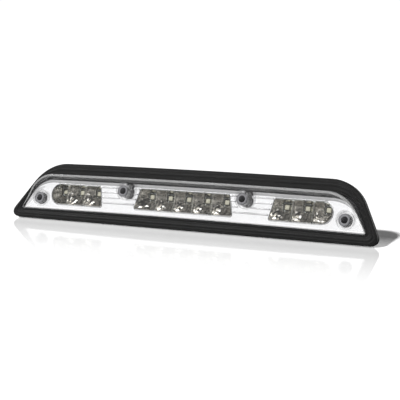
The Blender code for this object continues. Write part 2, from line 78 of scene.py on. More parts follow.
# Section of the rubber surround: (share of the way from lens to outer edge, distance behind the
# front plane). It runs over the front lips and grooves, round the outer edge and back inside.
SURROUND_SECTION = (
    (0.00, 0.9), (0.02, 0.5), (0.06, 0.3), (0.10, 0.5), (0.14, 0.8), (0.18, 0.5),
    (0.24, 0.2), (0.34, 0.1), (0.42, 0.0), (0.47, -0.3), (0.50, -0.55), (0.54, -0.6),
    (0.58, -0.4), (0.61, -0.2), (0.64, 0.2), (0.68, 0.3), (0.74, 0.1), (0.80, 0.05),
    (0.85, 0.25), (0.87, 0.6), (0.90, 0.7), (0.93, 0.45), (0.96, 0.65), (0.985, 1.0),
    (0.998, 1.6), (1.0, 2.6), (0.975, 3.0), (0.975, 3.5), (1.0, 3.9), (1.0, 5.6),
    (0.99, 6.2), (0.96, 6.7), (0.92, 7.0), (0.0, 7.0), (0.0, 4.8), (0.6, 4.8), (0.6, 2.4),
    (0.0, 2.4),
)

# Lens.
LENS_FRONT = -5.2
LENS_TILT = 0.25
LENS_CROWN = 3.0e-5
LENS_WALL = 2.0
LENS_EDGE = 2.4
LENS_BACK = 1.1

# Reflector panel, cells and LEDs.
PANEL_THICKNESS = 2.0
CELL_PITCH = 19.0
CELL_WALL = 1.0
CELL_INSET = 0.4
CELL_CORNER = 1.2
CLUSTER_BOTTOM = -4.8
CLUSTER_TOP = 13.7
CLUSTER_CORNER = 1.6
BRAKE_HALF_BOTTOM = 49.7
BRAKE_HALF_TOP = 44.8
BRAKE_CELLS = 5
CARGO_FIRST_LED = 95.3
CARGO_CELLS = 3
CARGO_INNER_BOTTOM = 84.1
CARGO_INNER_TOP = 88.1
CARGO_OUTER = 141.2
CARGO_END_RADIUS = 9.2
LED_LEVEL = 8.55
LED_WINDOW = 7.2
LED_FRONT = 9.7
REFLECTOR_BACK = 9.3
BOWL_FRONT = 0.4
BOWL_DEPTH = 8.4
BOWL_POWER = 0.8
FLUTE_SHARE = 0.08
RIB_LEVELS = (-1.0, 3.8, 8.5, 13.0)
RIB_RADIUS = 0.75
RIB_DEPTH = 0.05

# Rolled lip of a light opening: (distance outside the opening, depth behind the panel's front).
OPENING_LIP = (
    (0.9, 0.0),
    (0.75, -0.25),
    (0.5, -0.4),
    (0.25, -0.35),
    (0.05, -0.1),
    (0.0, 0.3),
    (0.0, PANEL_THICKNESS),
)

# Hole for a sleeve: (distance outside the sleeve, depth behind the panel's front).
SLEEVE_HOLE = ((0.9, 0.0), (0.5, 0.1), (0.3, 0.4), (0.3, PANEL_THICKNESS))

# LED package and the phosphor in it: (half width, depth behind LED_FRONT).
LED_FRAME = ((2.8, 1.4), (2.8, 0.35), (2.6, 0.1), (2.15, 0.0), (2.05, 0.3))
LED_DOME = ((2.0, 0.1), (1.6, -0.15), (0.8, -0.3))

# Screw bosses and their metal sleeves: distance, level, radius and depth of the seat.
BOSSES = {"end": (153.2, 0.0, 8.0, -1.6), "mid": (60.0, 9.9, 7.5, -4.9)}
BOSS_WALL = 1.7
BOSS_BACK = 0.0
BUSH_RADIUS = 4.2
BUSH_BORE = 3.1
BUSH_FLANGE = 5.2
HOUSING_BACK = 23.5
CLEARANCE = 0.3

# Least squared distance, in square millimetres, from a fill's scattered points to its edges.
FILL_MARGIN = 0.16


@dataclass(frozen=True)
class Outline:
    """A low arch: straight bottom, sides that lean in, and a large radius at each top corner."""

    half: float
    top: float
    bottom: float
    top_radius: float
    bottom_radius: float

    def inset(self, distance):
        return replace(
            self,
            half=self.half - distance / SIDE_COSINE,
            top=self.top - distance,
            bottom=self.bottom + distance,
            top_radius=self.top_radius - distance,
            bottom_radius=max(self.bottom_radius - distance, 0.5),
        )

    def half_at(self, level):
        return self.half - (level - SIDE_LEVEL) * SIDE_SLOPE

    def path(self):
        """The closed outline as (x, w) arrays, with the arch taken off its levels."""
        low, high = self.half_at(self.bottom), self.half_at(self.top)
        x, w = rounded(
            [
                (-low, self.bottom, self.bottom_radius),
                (low, self.bottom, self.bottom_radius),
                (high, self.top, self.top_radius),
                (-high, self.top, self.top_radius),
            ],
            arcs=(8, 8, 28, 28),
            edges=(60, 12, 60, 12),
        )
        return x, w - arch(x, w)


OUTER = Outline(180.0, 34.6, SURROUND_BOTTOM, 38.0, 7.0)
LENS = Outline(171.2, 21.6, -10.3, 29.0, 1.5)
PANEL_RIM = Outline(169.6, 17.3, -9.7, 25.5, 1.0)


def arch(x, w):
    """Drop of the lamp's lines: ARCH times x squared, faded out towards the straight bottom."""
    return ARCH * x * x * np.clip((w - SURROUND_BOTTOM) / 8.0, 0.0, 1.0)


def rounded(corners, arcs, edges):
    """A closed polygon of (x, w, radius) corners: each is an arc of arcs[i] steps about the point
    where both neighbouring edges are one radius away, then a straight edge in edges[i] steps."""
    starts, ends, pieces = [], [], []
    for i, (x, w, radius) in enumerate(corners):
        here = np.array([x, w])
        before = np.array(corners[i - 1][:2]) - here
        after = np.array(corners[(i + 1) % len(corners)][:2]) - here
        before, after = before / np.linalg.norm(before), after / np.linalg.norm(after)
        half_angle = math.acos(np.clip(before @ after, -1, 1)) / 2
        middle = (before + after) / np.linalg.norm(before + after)
        centre = here + middle * radius / math.sin(half_angle)
        start = here + before * radius / math.tan(half_angle) - centre
        turn = np.linspace(0, math.pi - 2 * half_angle, arcs[i] + 1)[:, None]
        side = np.array([-start[1], start[0]])
        arc = centre + start * np.cos(turn) + side * np.sin(turn)
        pieces.append(arc)
        starts.append(arc[0])
        ends.append(arc[-1])
    path = []
    for i, arc in enumerate(pieces):
        following = starts[(i + 1) % len(starts)]
        share = np.linspace(0, 1, edges[i] + 1)[1:-1, None]
        path += [arc, ends[i] + (following - ends[i]) * share]
    path = np.concatenate(path)
    return path[:, 0], path[:, 1]


def blend(first, second, share):
    """An outline part of the way from one outline to another."""
    pairs = zip(first.__dict__.values(), second.__dict__.values())
    return Outline(*[a + (b - a) * share for a, b in pairs])


def surround_front(w):
    """Depth of the surround's front plane, which leans back more than the reflector openings."""
    return SURROUND_FRONT_AT_BOTTOM + (w - SURROUND_BOTTOM) * MOUNT_SLOPE


def lens_face(x, w):
    """Depth of the lens's outer face: a tilted plane plus a slight crown in x squared."""
    return LENS_FRONT - LENS_TILT * w + LENS_CROWN * x * x


def lens_skin(x, w):
    """Depth of the lens's inner skin, one wall behind its face."""
    return lens_face(x, w) + LENS_WALL


def place(x, w, d):
    """Lamp axes to the row's frame: the mounting point goes to the origin, then all leans back."""
    x, w, d = np.broadcast_arrays(x, w, d)
    w = w - MOUNT_LEVEL
    d = d - surround_front(MOUNT_LEVEL) - SURROUND_THICKNESS
    y = d * math.cos(FACE_LEAN) + w * math.sin(FACE_LEAN)
    z = w * math.cos(FACE_LEAN) - d * math.sin(FACE_LEAN)
    return np.stack([x, y, z], axis=-1) * MM


def circle(x, w, radius, steps=48):
    """Points at equal turns round (x, w)."""
    turn = np.linspace(0, 2 * np.pi, steps, endpoint=False)
    return x + radius * np.cos(turn), w + radius * np.sin(turn)


def inside(x, w, polygon_x, polygon_w):
    """Even-odd test of many points against one closed polygon."""
    next_x, next_w = np.roll(polygon_x, -1), np.roll(polygon_w, -1)
    x, w = x[:, None], w[:, None]
    crosses = (polygon_w > w) != (next_w > w)
    run = np.where(next_w == polygon_w, 1.0, next_w - polygon_w)
    at = polygon_x + (w - polygon_w) * (next_x - polygon_x) / run
    return (crosses & (x < at)).sum(axis=1) % 2 == 1


def grid(x, w, spacing):
    """Points of a square grid inside a closed polygon."""
    across = np.arange(x.min() + spacing / 2, x.max(), spacing)
    up = np.arange(w.min() + spacing / 2, w.max(), spacing)
    grid_x, grid_w = (points.ravel() for points in np.meshgrid(across, up))
    within = inside(grid_x, grid_w, x, w)
    return grid_x[within], grid_w[within]


class Shell:
    """A mesh built from closed loops in lamp axes, strips between them and flat fills."""

    def __init__(self):
        self.points, self.flat, self.faces, self.slots = [], [], [], []
        self.count = 0
        self.slot = 0

    def add(self, x, w, d):
        x, w, d = np.broadcast_arrays(x, w, d)
        self.points.append(place(x, w, d))
        self.flat.append(np.stack([x, w], axis=-1))
        self.count += x.size
        return np.arange(self.count - x.size, self.count)

    def face(self, quads):
        self.faces += quads.tolist()
        self.slots += [self.slot] * len(quads)

    def strip(self, first, second):
        """Quads between two closed loops of equal length."""
        self.face(np.stack([first, np.roll(first, -1), np.roll(second, -1), second], axis=1))

    def sweep(self, loops, ring=False):
        """Strips through a run of loops, and back to the first one for a ring."""
        for first, second in zip(loops, loops[1:]):
            self.strip(first, second)
        if ring:
            self.strip(loops[-1], loops[0])
        return loops

    def fill(self, outer, holes, x, w, d):
        """Triangles between an outer loop and hole loops, through scattered points (x, w, d).
        Points in a hole or right beside an edge are dropped."""
        flat = np.concatenate(self.flat)
        loops = [outer, *holes]
        clear = inside(x, w, *flat[outer].T)
        for hole in holes:
            clear &= ~inside(x, w, *flat[hole].T)
        edge = flat[np.concatenate(loops)]
        apart = (x[:, None] - edge[:, 0]) ** 2 + (w[:, None] - edge[:, 1]) ** 2
        clear &= apart.min(axis=1) > FILL_MARGIN
        extra = self.add(x[clear], w[clear], d[clear])
        ids = np.concatenate([*loops, extra])
        sites = np.concatenate([edge, np.stack([x[clear], w[clear]], axis=1)])
        edges, start = [], 0
        for ring in loops:
            step = np.arange(len(ring)) + start
            edges += np.stack([step, np.roll(step, -1)], axis=1).tolist()
            start += len(ring)
        made = delaunay_2d_cdt([Vector(site) for site in sites.tolist()], edges, [], 0, 1e-6)
        back = np.array([origin[0] for origin in made[3]])
        triangles = back[np.array([face for face in made[2] if len(face) == 3])]
        centre = sites[triangles].mean(axis=1)
        keep = inside(centre[:, 0], centre[:, 1], *flat[outer].T)
        for hole in holes:
            keep &= ~inside(centre[:, 0], centre[:, 1], *flat[hole].T)
        self.face(ids[triangles[keep]])

    def object(self, name, finishes, smooth=True, sharp=40.0):
        """The finished mesh: seams merged, faces out, shaded smooth up to the sharp angle."""
        mesh = bpy.data.meshes.new(name)
        mesh.from_pydata(np.concatenate(self.points).tolist(), [], self.faces)
        for finish in finishes:
            mesh.materials.append(finish)
        mesh.polygons.foreach_set("material_index", self.slots)
        work = bmesh.new()
        work.from_mesh(mesh)
        bmesh.ops.remove_doubles(work, verts=work.verts, dist=1e-7)
        bmesh.ops.recalc_face_normals(work, faces=work.faces)
        work.to_mesh(mesh)
        work.free()
        if smooth:
            mesh.shade_smooth()
            mesh.set_sharp_from_angle(angle=math.radians(sharp))
        made = bpy.data.objects.new(name, mesh)
        bpy.context.collection.objects.link(made)
        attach(made, "root")
        return made


class Value:
    """A number in a shader. Arithmetic on it adds Math nodes."""

    def __init__(self, finish, socket):
        self.finish, self.socket = finish, socket

    def math(self, operation, *operands):
        inputs = dict(enumerate(operands))
        node = self.finish.node("ShaderNodeMath", {"operation": operation}, inputs)
        return Value(self.finish, node.outputs[0])

    def __add__(self, other):
        return self.math("ADD", self, other)

    def __radd__(self, other):
        return self.math("ADD", other, self)

    def __sub__(self, other):
        return self.math("SUBTRACT", self, other)

    def __rsub__(self, other):
        return self.math("SUBTRACT", other, self)

    def __mul__(self, other):
        return self.math("MULTIPLY", self, other)

    def __rmul__(self, other):
        return self.math("MULTIPLY", other, self)

    def __pow__(self, other):
        return self.math("POWER", self, other)

    def __abs__(self):
        return self.math("ABSOLUTE", self)

    def clamp(self, low, high):
        return self.math("MINIMUM", self.math("MAXIMUM", self, low), high)


class Finish:
    """A node material, or the world, with one way of making every node."""

    def __init__(self, owner):
        self.owner = owner
        owner.use_nodes = True
        self.tree = owner.node_tree
        self.tree.nodes.clear()

    def node(self, kind, settings=None, inputs=None):
        made = self.tree.nodes.new(kind)
        for name, value in (settings or {}).items():
            setattr(made, name, value)
        for name, value in (inputs or {}).items():
            if isinstance(value, Value):
                value = value.socket
            if isinstance(value, bpy.types.NodeSocket):
                self.tree.links.new(value, made.inputs[name])
            else:
                made.inputs[name].default_value = value
        return made

    def value(self, kind, output, settings=None, inputs=None):
        return Value(self, self.node(kind, settings, inputs).outputs[output])

    def noise(self, scale, detail=3.0, stretch=(1.0, 1.0, 1.0)):
        """Noise from 0 to 1 on Object coordinates, scale in features per metre."""
        where = self.node("ShaderNodeTexCoord").outputs["Object"]
        turned = self.node("ShaderNodeMapping", None, {"Vector": where, "Scale": stretch})
        inputs = {"Vector": turned.outputs[0], "Scale": scale, "Detail": detail}
        return self.value("ShaderNodeTexNoise", "Fac", None, inputs)

    def bump(self, height, distance, strength=1.0):
        inputs = {"Height": height, "Distance": distance, "Strength": strength}
        return self.node("ShaderNodeBump", None, inputs).outputs[0]

    def mixed(self, share, low, high):
        inputs = {"Factor": share, 6: (*low, 1.0), 7: (*high, 1.0)}
        settings = {"data_type": "RGBA"}
        return self.node("ShaderNodeMix", settings, inputs).outputs[2]

    def surface(self, **sockets):
        """A Principled shader whose socket names are given with _ for a space."""
        named = {name.replace("_", " "): value for name, value in sockets.items()}
        shader = self.node("ShaderNodeBsdfPrincipled", None, named)
        self.output(shader.outputs[0])
        return self.owner

    def output(self, socket, kind="ShaderNodeOutputMaterial"):
        self.node(kind, None, {"Surface": socket})
        return self.owner


def new_finish(name):
    return Finish(bpy.data.materials.new(name))


def clear_plastic(name, clearness, mirror_share, haze):
    """Polished clear plastic: see-through, with a mirror share that rises at grazing angles and a
    share of haze that scatters light where the wall is thick or turned."""
    f = new_finish(name)
    wave = f.bump(f.noise(55.0, 2.0), 0.0004, 0.35)
    facing = f.value("ShaderNodeLayerWeight", "Facing", None, {"Blend": 0.5, "Normal": wave})
    share = mirror_share + 0.9 * facing ** 5.0
    tint = (clearness, clearness, clearness, 1.0)
    through = f.node("ShaderNodeBsdfTransparent", None, {"Color": tint})
    mirror = f.node("ShaderNodeBsdfGlossy", None, {"Roughness": 0.03, "Normal": wave})
    inputs = {0: share, 1: through.outputs[0], 2: mirror.outputs[0]}
    clear = f.node("ShaderNodeMixShader", None, inputs)
    milky = f.node("ShaderNodeBsdfDiffuse", None, {"Color": (0.85, 0.85, 0.85, 1.0)})
    inputs = {0: haze, 1: clear.outputs[0], 2: milky.outputs[0]}
    return f.output(f.node("ShaderNodeMixShader", None, inputs).outputs[0])


def chrome(name, tint, roughness, wave):
    """Metallised plastic: a bright mirror with a faint orange-peel wave and cloudy patches."""
    f = new_finish(name)
    cloud = f.noise(180.0, 4.0)
    return f.surface(
        Base_Color=f.mixed(cloud, tuple(c * 0.94 for c in tint), tint),
        Metallic=1.0,
        Roughness=roughness * (0.7 + 0.6 * cloud),
        Normal=f.bump(f.noise(320.0, 2.0), wave),
    )


def black_rubber():
    """Moulded rubber: near black with a dusty bloom, fine grain and soft sheen."""
    f = new_finish("black_rubber")
    bloom = f.noise(90.0, 4.0)
    grain = f.noise(2600.0, 2.0)
    return f.surface(
        Base_Color=f.mixed(bloom, (0.004, 0.004, 0.004), (0.008, 0.008, 0.008)),
        Roughness=0.36 + 0.14 * bloom,
        Specular_IOR_Level=0.18,
        Normal=f.bump(grain, 0.00006, 0.6),
    )


def black_plastic():
    """Textured black moulding: spark-eroded grain and slightly uneven gloss."""
    f = new_finish("black_plastic")
    grain = f.noise(1900.0, 3.0)
    patch = f.noise(40.0, 3.0)
    return f.surface(
        Base_Color=f.mixed(patch, (0.014, 0.014, 0.015), (0.03, 0.03, 0.032)),
        Roughness=0.42 + 0.16 * patch,
        Normal=f.bump(grain, 0.0001, 0.7),
    )


def sealant():
    """Bead of sealant: dark, matt and smeared."""
    f = new_finish("grey_sealant")
    smear = f.noise(400.0, 4.0)
    return f.surface(
        Base_Color=f.mixed(smear, (0.012, 0.012, 0.012), (0.03, 0.03, 0.03)),
        Roughness=0.6 + 0.2 * smear,
        Normal=f.bump(smear, 0.0002),
    )


def white_board():
    """Circuit board: white solder mask with faint tracks under it."""
    f = new_finish("white_board")
    weave = f.noise(900.0, 3.0)
    track = f.noise(160.0, 0.0, (1.0, 4.0, 4.0))
    return f.surface(
        Base_Color=f.mixed(track, (0.66, 0.7, 0.66), (0.82, 0.84, 0.82)),
        Roughness=0.35 + 0.15 * weave,
        Normal=f.bump(weave, 0.00004),
    )


def phosphor():
    """Yellow-white phosphor under silicone, grainy and a little brighter in patches."""
    f = new_finish("phosphor")
    grain = f.noise(2200.0, 3.0)
    return f.surface(
        Base_Color=f.mixed(grain, (0.2, 0.195, 0.15), (0.38, 0.37, 0.3)),
        Roughness=0.12 + 0.1 * grain,
        Normal=f.bump(grain, 0.0001, 0.5),
    )


def led_frame():
    """Moulded case of an LED: nearly black, with a fine grain."""
    f = new_finish("led_frame")
    grain = f.noise(1500.0, 2.0)
    return f.surface(
        Base_Color=f.mixed(grain, (0.02, 0.018, 0.014), (0.06, 0.055, 0.04)),
        Roughness=0.3 + 0.1 * grain,
        Normal=f.bump(grain, 0.00005),
    )


def metal(name, low, high, roughness, metallic=1.0):
    """Plated metal: brushed streaks round a middling roughness."""
    f = new_finish(name)
    streak = f.noise(700.0, 3.0, (1.0, 0.2, 1.0))
    return f.surface(
        Base_Color=f.mixed(streak, low, high),
        Metallic=metallic,
        Roughness=roughness * (0.7 + 0.6 * streak),
        Normal=f.bump(streak, 0.00005),
    )


def plain_finish(name, low, high, roughness):
    """Small moulded or coated parts: two close shades, grain and uneven gloss."""
    f = new_finish(name)
    grain = f.noise(1200.0, 3.0)
    return f.surface(
        Base_Color=f.mixed(grain, low, high),
        Roughness=roughness + 0.12 * grain,
        Normal=f.bump(grain, 0.00004),
    )


def boss_places():
    """Each screw boss as (name, x, level, radius, seat)."""
    for kind, (distance, level, radius, seat) in BOSSES.items():
        for side, sign in (("left", -1), ("right", 1)):
            yield f"{kind}_{side}", sign * distance, level - arch(distance, level), radius, seat


def make_lens(finish, boss_finish, edge_finish):
    """Clear cover. From the face, a quarter-circle edge rolls over to side walls that end at the
    flange. Each boss is turned about its screw's axis and joins the face to the inner skin."""
    shell = Shell()
    x0, w0 = LENS.path()
    x1, w1 = LENS.inset(LENS_EDGE).path()
    back = surround_front(w0) + LENS_BACK
    radius = np.clip(0.45 * (back - lens_face(x0, w0)), 0.5, LENS_EDGE)
    edge_steps = 8
    loops = []
    for turn in np.linspace(0, math.pi / 2, edge_steps):
        share = radius / LENS_EDGE * (1 - math.sin(turn))
        x, w = x0 + (x1 - x0) * share, w0 + (w1 - w0) * share
        loops.append(shell.add(x, w, lens_face(x, w) + radius * (1 - math.cos(turn))))
    edge = lens_face(x0, w0) + radius
    for share in (0.33, 0.67, 1.0):
        loops.append(shell.add(x0, w0, edge + (back - edge) * share))
    inner_x, inner_w = LENS.inset(LENS_WALL).path()
    loops.append(shell.add(inner_x, inner_w, surround_front(inner_w) + LENS_BACK))
    loops.append(shell.add(inner_x, inner_w, lens_skin(inner_x, inner_w)))
    shell.slot = 2
    shell.sweep(loops[:edge_steps])
    shell.slot = 0
    shell.sweep(loops[edge_steps - 1 :])
    outer_holes, inner_holes = [], []
    shell.slot = 1
    for _, x, level, boss, seat in boss_places():
        bore = boss - BOSS_WALL
        rim_x, rim_w = circle(x, level, bore + 0.5)
        recess_x, recess_w = circle(x, level, bore)
        face = lens_face(recess_x, recess_w)
        wall_x, wall_w = circle(x, level, boss)
        hole = BUSH_RADIUS + CLEARANCE
        cup = [
            shell.add(rim_x, rim_w, lens_face(rim_x, rim_w)),
            shell.add(*circle(x, level, bore + 0.15), face + 0.15),
            shell.add(recess_x, recess_w, np.minimum(face + 0.5, seat - 0.45)),
            shell.add(recess_x, recess_w, seat - 0.4),
            shell.add(*circle(x, level, bore - 0.4), seat),
            shell.add(*circle(x, level, hole), seat),
            shell.add(*circle(x, level, hole), BOSS_BACK - 0.1),
            shell.add(*circle(x, level, boss - 0.3), BOSS_BACK - 0.1),
            shell.add(wall_x, wall_w, BOSS_BACK - 0.4),
            shell.add(wall_x, wall_w, lens_skin(wall_x, wall_w)),
        ]
        shell.sweep(cup)
        outer_holes.append(cup[0])
        inner_holes.append(cup[-1])
    shell.slot = 0
    x, w = grid(x1, w1, 4.0)
    shell.fill(loops[0], outer_holes, x, w, lens_face(x, w))
    x, w = grid(inner_x, inner_w, 4.0)
    shell.fill(loops[-1], inner_holes, x, w, lens_skin(x, w))
    made = shell.object("lens_cover", [finish, boss_finish, edge_finish])
    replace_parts(made, "outer_lens")


def make_surround(finish):
    """Rubber surround: one closed section of lips and grooves carried round the lens's outline."""
    inner = LENS.inset(-0.5)
    shell = Shell()
    loops = []
    for share, behind in SURROUND_SECTION:
        x, w = blend(inner, OUTER, share).path()
        loops.append(shell.add(x, w, surround_front(w) + behind))
    shell.sweep(loops, ring=True)
    made = shell.object("rubber_surround", [finish], sharp=70.0)
    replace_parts(made, "perimeter_gasket")


def brake_corners(grow):
    low, high = BRAKE_HALF_BOTTOM + grow, BRAKE_HALF_TOP + grow
    bottom, top = CLUSTER_BOTTOM - grow, CLUSTER_TOP + grow
    radius = CLUSTER_CORNER + grow
    return [
        (-low, bottom, radius),
        (low, bottom, radius),
        (high, top, radius),
        (-high, top, radius),
    ]


def cargo_drop():
    """How far the cargo lights sit below the brake light, from the arch at their middle cell."""
    return arch(CARGO_FIRST_LED + CELL_PITCH, 0.0)


def cargo_corners(grow):
    drop = cargo_drop()
    bottom, top = CLUSTER_BOTTOM - grow - drop, CLUSTER_TOP + grow - drop
    return [
        (CARGO_INNER_BOTTOM - grow, bottom, CLUSTER_CORNER + grow),
        (CARGO_OUTER + grow, bottom, CARGO_END_RADIUS + grow),
        (CARGO_OUTER + grow, top, CARGO_END_RADIUS + grow),
        (CARGO_INNER_TOP - grow, top, CLUSTER_CORNER + grow),
    ]


def opening_path(corners, side=1):
    x, w = rounded(corners, arcs=(8, 16, 16, 8), edges=(24, 8, 24, 8))
    return (x, w) if side > 0 else (-x[::-1], w[::-1])


def openings():
    """Each light opening as a function that gives its outline grown by a distance."""
    yield lambda grow: opening_path(brake_corners(grow))
    yield lambda grow: opening_path(cargo_corners(grow), -1)
    yield lambda grow: opening_path(cargo_corners(grow), 1)


def rib_spans(level):
    """Stretches of a rib between the brake and cargo openings, stopped short of the boss."""
    rise = (level - CLUSTER_BOTTOM) / (CLUSTER_TOP - CLUSTER_BOTTOM)
    first = BRAKE_HALF_BOTTOM + (BRAKE_HALF_TOP - BRAKE_HALF_BOTTOM) * rise + 1.5
    last = CARGO_INNER_BOTTOM + (CARGO_INNER_TOP - CARGO_INNER_BOTTOM) * rise - 1.5
    boss_x, boss_level, boss_radius, _ = BOSSES["mid"]
    reach = boss_radius + 1.2
    off = abs(level - boss_level)
    if off >= reach:
        return [(first, last)]
    half = math.sqrt(reach * reach - off * off)
    spans = [(first, boss_x - half), (boss_x + half, last)]
    return [(start, end) for start, end in spans if end - start > 2.0]


def distance_to(x, w, path_x, path_w):
    """Distance of many points to a closed path, by its nearest segment."""
    run_x, run_w = np.roll(path_x, -1) - path_x, np.roll(path_w, -1) - path_w
    off_x, off_w = x[:, None] - path_x, w[:, None] - path_w
    share = np.clip((off_x * run_x + off_w * run_w) / (run_x**2 + run_w**2), 0, 1)
    return np.hypot(off_x - share * run_x, off_w - share * run_w).min(axis=1)


def panel_depth(x, w):
    """Depth of the panel's front: a flat floor, and a border that comes forward to the rim by a
    power of how near the rim is. The border is wide at the top and narrow at the bottom."""
    rise = (w - PANEL_RIM.bottom) / (PANEL_RIM.top - PANEL_RIM.bottom)
    width = 0.8 + 2.8 * np.clip(1.6 * rise - 0.6, 0, 1)
    near = np.clip(1 - distance_to(x, w, *PANEL_RIM.path()) / width, 0, 1)
    return (0.3 - 1.4 * rise) * near**1.15


def make_panel(finish):
    """Bright panel: a floor with a raised border, openings with a rolled lip, and a hole for each
    sleeve. The back is the same surface one thickness behind."""
    shell = Shell()
    rim_x, rim_w = PANEL_RIM.path()
    rim = panel_depth(rim_x, rim_w)
    loops = [shell.add(rim_x, rim_w, rim), shell.add(rim_x, rim_w, rim + PANEL_THICKNESS)]
    shell.sweep(loops)
    holes = []
    for outline in openings():
        rings = []
        for grow, offset in OPENING_LIP:
            x, w = outline(grow)
            rings.append(shell.add(x, w, panel_depth(x, w) + offset))
        holes.append(shell.sweep(rings))
    for _, x, level, *_ in boss_places():
        rings = []
        for grow, offset in SLEEVE_HOLE:
            ring_x, ring_w = circle(x, level, BUSH_RADIUS + grow)
            rings.append(shell.add(ring_x, ring_w, panel_depth(ring_x, ring_w) + offset))
        holes.append(shell.sweep(rings))
    x, w = grid(rim_x, rim_w, 1.1)
    d = panel_depth(x, w)
    shell.fill(loops[0], [rings[0] for rings in holes], x, w, d)
    shell.fill(loops[1], [rings[-1] for rings in holes], x, w, d + PANEL_THICKNESS)
    made = shell.object("bright_panel", [finish], sharp=50.0)
    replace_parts(made, "reflector_panel")


def make_ribs(finish):
    """Half-round bars on the panel, each a circle section carried along the lamp."""
    shell = Shell()
    turn = np.linspace(0, 2 * np.pi, 16, endpoint=False)
    up, behind = RIB_RADIUS * np.cos(turn), RIB_DEPTH + RIB_RADIUS * np.sin(turn)
    for level in RIB_LEVELS:
        for start, end in rib_spans(level):
            for side in (-1, 1):
                along = side * np.linspace(start, end, 14)
                rings = [shell.add(x, level - arch(x, level) + up, behind) for x in along]
                shell.sweep(rings)
                shell.face(rings[0][None, :])
                shell.face(rings[-1][None, :])
    shell.object("panel_ribs", [finish])


@dataclass(frozen=True)
class Row:
    """The cells of one insert. Its inner and outer edges are given at the bottom and at the top."""

    name: str
    side: int
    first: float
    count: int
    inner: tuple
    outer: tuple
    end_radius: float
    drop: float

    def cells(self):
        """Each cell as its centre and the corners of its mouth."""
        divider = (CELL_PITCH - CELL_WALL) / 2
        low, high = CLUSTER_BOTTOM + CELL_INSET - self.drop, CLUSTER_TOP - CELL_INSET - self.drop
        for number in range(self.count):
            centre = self.first + number * CELL_PITCH
            left, right, radius = (centre - divider,) * 2, (centre + divider,) * 2, CELL_CORNER
            if number == 0:
                left = [edge + CELL_INSET for edge in self.inner]
            if number == self.count - 1:
                right = [edge - CELL_INSET for edge in self.outer]
                radius = self.end_radius
            yield centre, [
                (left[0], low, CELL_CORNER),
                (right[0], low, radius),
                (right[1], high, radius),
                (left[1], high, CELL_CORNER),
            ]


def rows():
    first = -CELL_PITCH * (BRAKE_CELLS - 1) / 2
    inner, outer = (-BRAKE_HALF_BOTTOM, -BRAKE_HALF_TOP), (BRAKE_HALF_BOTTOM, BRAKE_HALF_TOP)
    yield Row("brake", 1, first, BRAKE_CELLS, inner, outer, CELL_CORNER, 0.0)
    inner, outer = (CARGO_INNER_BOTTOM, CARGO_INNER_TOP), (CARGO_OUTER, CARGO_OUTER)
    cargo = (CARGO_FIRST_LED, CARGO_CELLS, inner, outer, CARGO_END_RADIUS - CELL_INSET)
    for side, name in ((-1, "left"), (1, "right")):
        yield Row(f"cargo_{name}", side, *cargo, cargo_drop())


def make_cups(finish):
    """Cup inserts: each cell is a faceted bowl. Its section goes from the mouth to the square LED
    window, and its depth rises with the share of that way to a power, as on a parabola. Every
    other point of a section is ahead of its neighbours, which makes the facets."""
    shares = (0.08, 0.25, 0.45, 0.65, 0.84, 1.0)
    bowl = [(share, BOWL_FRONT + BOWL_DEPTH * share**BOWL_POWER) for share in shares]
    front = [(0.0, 0.1), *bowl, (1.0, REFLECTOR_BACK)]
    back = [(0.94, REFLECTOR_BACK), (0.25, 6.2), (-0.02, 1.8), (-0.02, 0.1)]
    steps = {"arcs": (3, 3, 3, 3), "edges": (5, 4, 5, 4)}
    nodes = {
        "brake": "brake_reflector",
        "cargo_left": "cargo_reflector_left",
        "cargo_right": "cargo_reflector_right",
    }
    for row in rows():
        shell = Shell()
        for centre, corners in row.cells():
            mouth = np.stack(rounded(corners, **steps))
            middle = square_corners(centre, LED_LEVEL - row.drop, LED_WINDOW / 2, CELL_CORNER)
            window = np.stack(rounded(middle, **steps))
            flute = np.where(np.arange(mouth.shape[1]) % 2, 1.0, -1.0)
            rings = []
            for share, depth in front:
                near = share + FLUTE_SHARE * flute * math.sin(math.pi * share)
                x, w = mouth + (window - mouth) * near
                rings.append(shell.add(row.side * x, w, depth))
            for share, depth in back:
                x, w = mouth + (window - mouth) * share
                rings.append(shell.add(row.side * x, w, depth))
            shell.sweep(rings, ring=True)
        made = shell.object(f"{row.name}_cups", [finish], smooth=False)
        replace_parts(made, nodes[row.name])


def square_corners(x, w, half, radius):
    signs = ((-1, -1), (1, -1), (1, 1), (-1, 1))
    return [(x + across * half, w + up * half, radius) for across, up in signs]


def square(x, w, half, radius):
    return rounded(square_corners(x, w, half, radius), (5, 5, 5, 5), (2, 2, 2, 2))


def make_led(name, x, level, frame_finish, glow_finish):
    """LED package: a square frame with a raised square of phosphor inside it."""
    shell = Shell()
    rings = [
        shell.add(*square(x, level, half, 0.5), LED_FRONT + depth) for half, depth in LED_FRAME
    ]
    shell.sweep(rings)
    shell.face(rings[0][None, :])
    shell.slot = 1
    dome = [shell.add(*square(x, level, half, 0.4), LED_FRONT + depth) for half, depth in LED_DOME]
    shell.sweep([rings[-1], *dome])
    shell.face(dome[-1][None, :])
    made = shell.object(f"{name}_package", [frame_finish, glow_finish])
    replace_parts(made, name)


def make_leds(frame_finish, glow_finish):
    for number in range(BRAKE_CELLS):
        x = (number - (BRAKE_CELLS - 1) / 2) * CELL_PITCH
        make_led(f"brake_led_{number + 1}", x, LED_LEVEL, frame_finish, glow_finish)
    level = LED_LEVEL - cargo_drop()
    for name, side in (("left", -1), ("right", 1)):
        for number in range(CARGO_CELLS):
            x = side * (CARGO_FIRST_LED + number * CELL_PITCH)
            make_led(f"cargo_led_{name}_{number + 1}", x, level, frame_finish, glow_finish)


